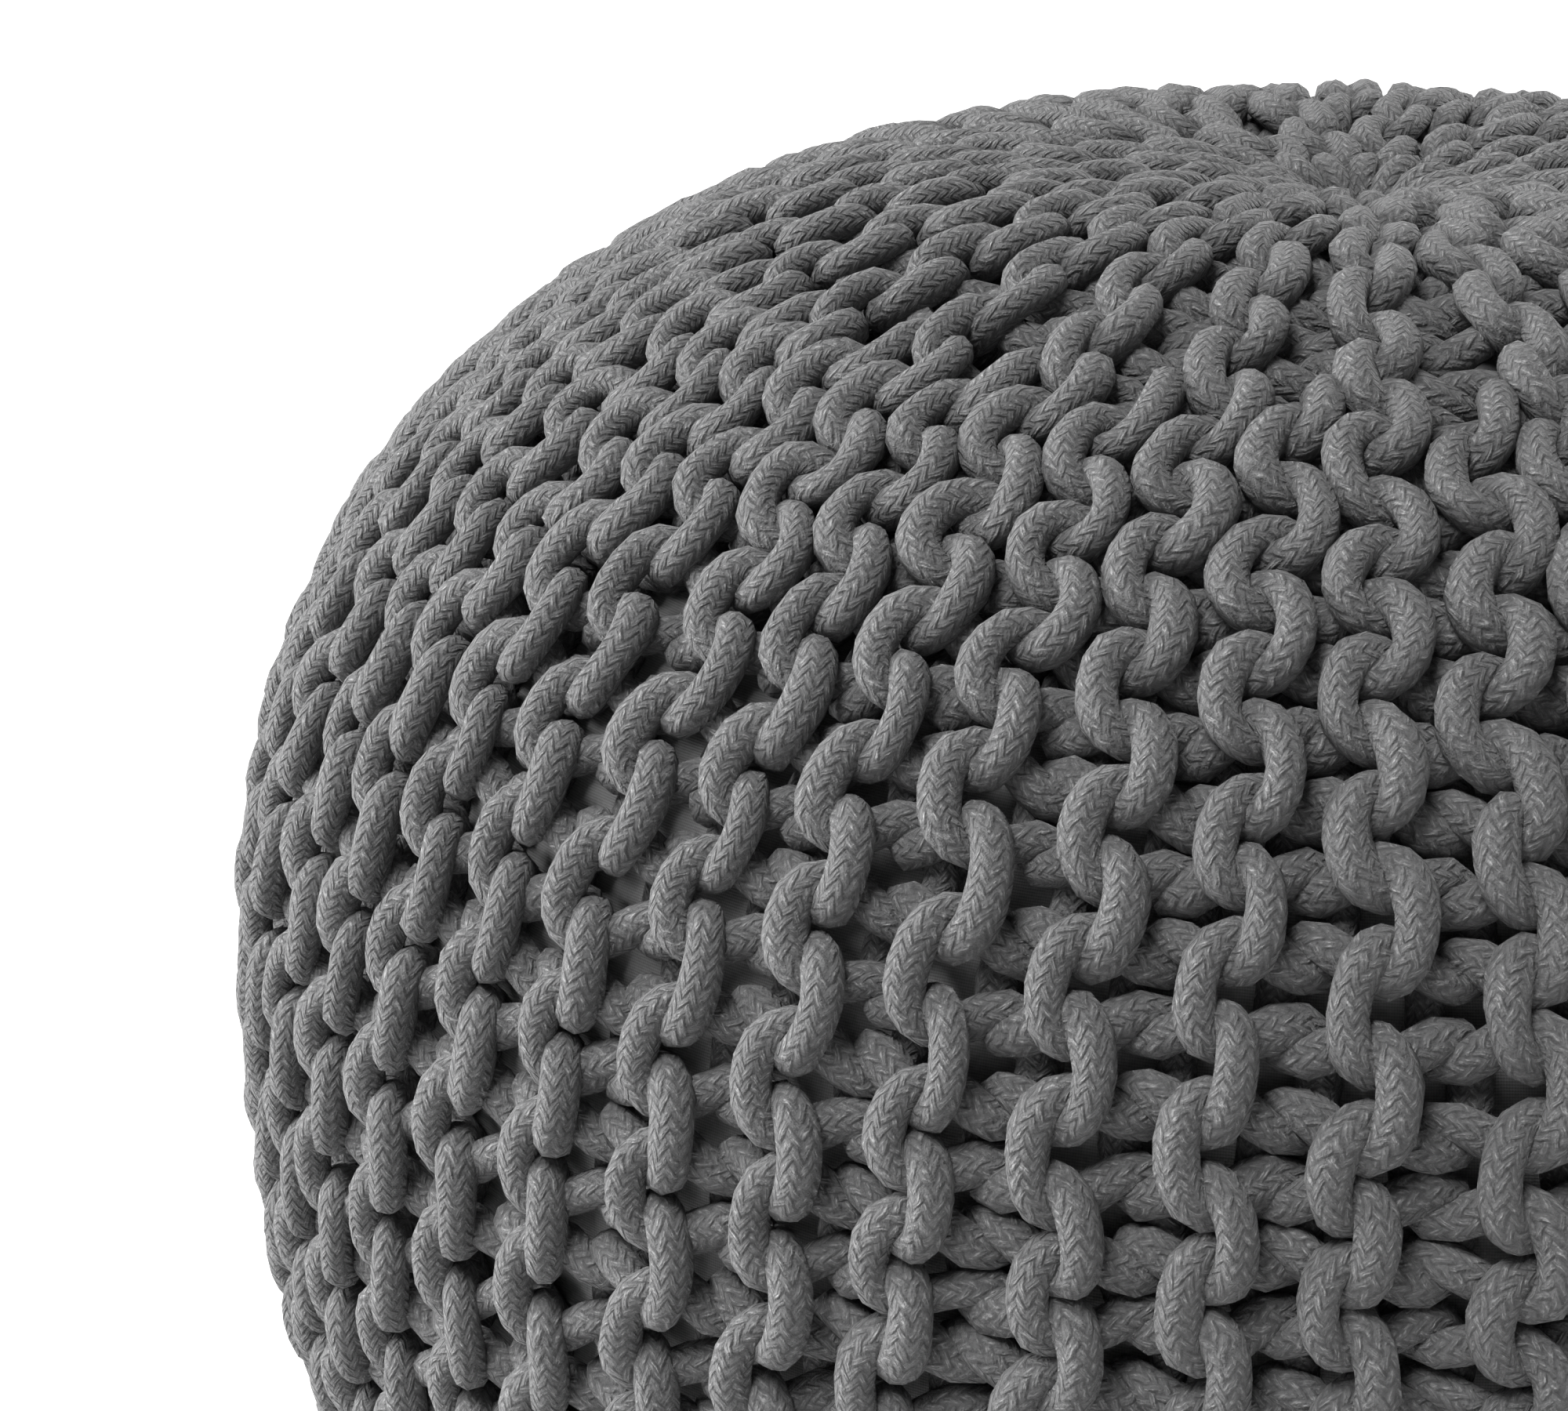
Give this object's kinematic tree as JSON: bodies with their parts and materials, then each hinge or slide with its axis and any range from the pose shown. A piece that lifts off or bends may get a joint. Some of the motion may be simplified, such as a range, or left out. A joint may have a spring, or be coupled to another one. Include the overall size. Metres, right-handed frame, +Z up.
{
  "type": "knitted cotton-cord floor pouf",
  "caption": "Round low floor pouf: a chunky knitted cord cover with upright ridges that close in on the middle of the top, drawn over a filled fabric casing.",
  "frame": {"origin": "on the floor, under the middle of the pouf", "axes": "+Z up through the gathered centre of the top; the pouf is round, and -Y faces the viewer"},
  "size_m": [0.5074, 0.5074, 0.3562],
  "materials": {
    "cotton_cord": "matt braided cotton cord in mid grey, lightly flecked and a little fuzzy",
    "casing_jersey": "matt fine-ribbed jersey in dark grey"
  },
  "bodies": {
    "root": {"knit_cover": "cotton_cord", "inner_casing": "casing_jersey"}
  },
  "joints": []
}
